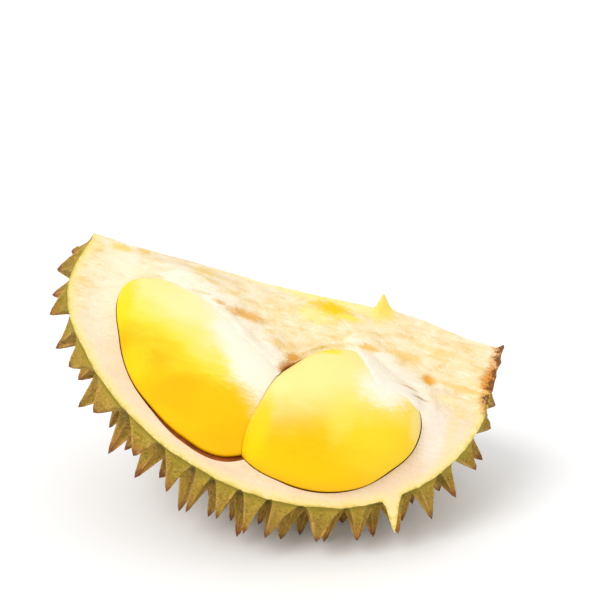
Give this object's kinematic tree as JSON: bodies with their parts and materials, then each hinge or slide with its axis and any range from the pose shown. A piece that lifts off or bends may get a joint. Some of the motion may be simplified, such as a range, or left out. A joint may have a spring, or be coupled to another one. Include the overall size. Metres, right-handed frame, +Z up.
{
  "type": "durian",
  "caption": "Split piece of a ripe durian: spiny green husk with cream pith, holding plump yellow flesh pods in its open face",
  "frame": {"origin": "middle of the bounding box, on the surface the piece lies on", "axes": "+X along the length towards the torn stalk end, +Y away from the open face, +Z up"},
  "size_m": [0.2382, 0.1592, 0.1509],
  "materials": {
    "husk": "matte olive green skin, cream where split",
    "flesh": "smooth, moist, golden yellow"
  },
  "bodies": {
    "root": {"husk": "husk", "pod_left": "flesh", "pod_right": "flesh"}
  },
  "joints": []
}
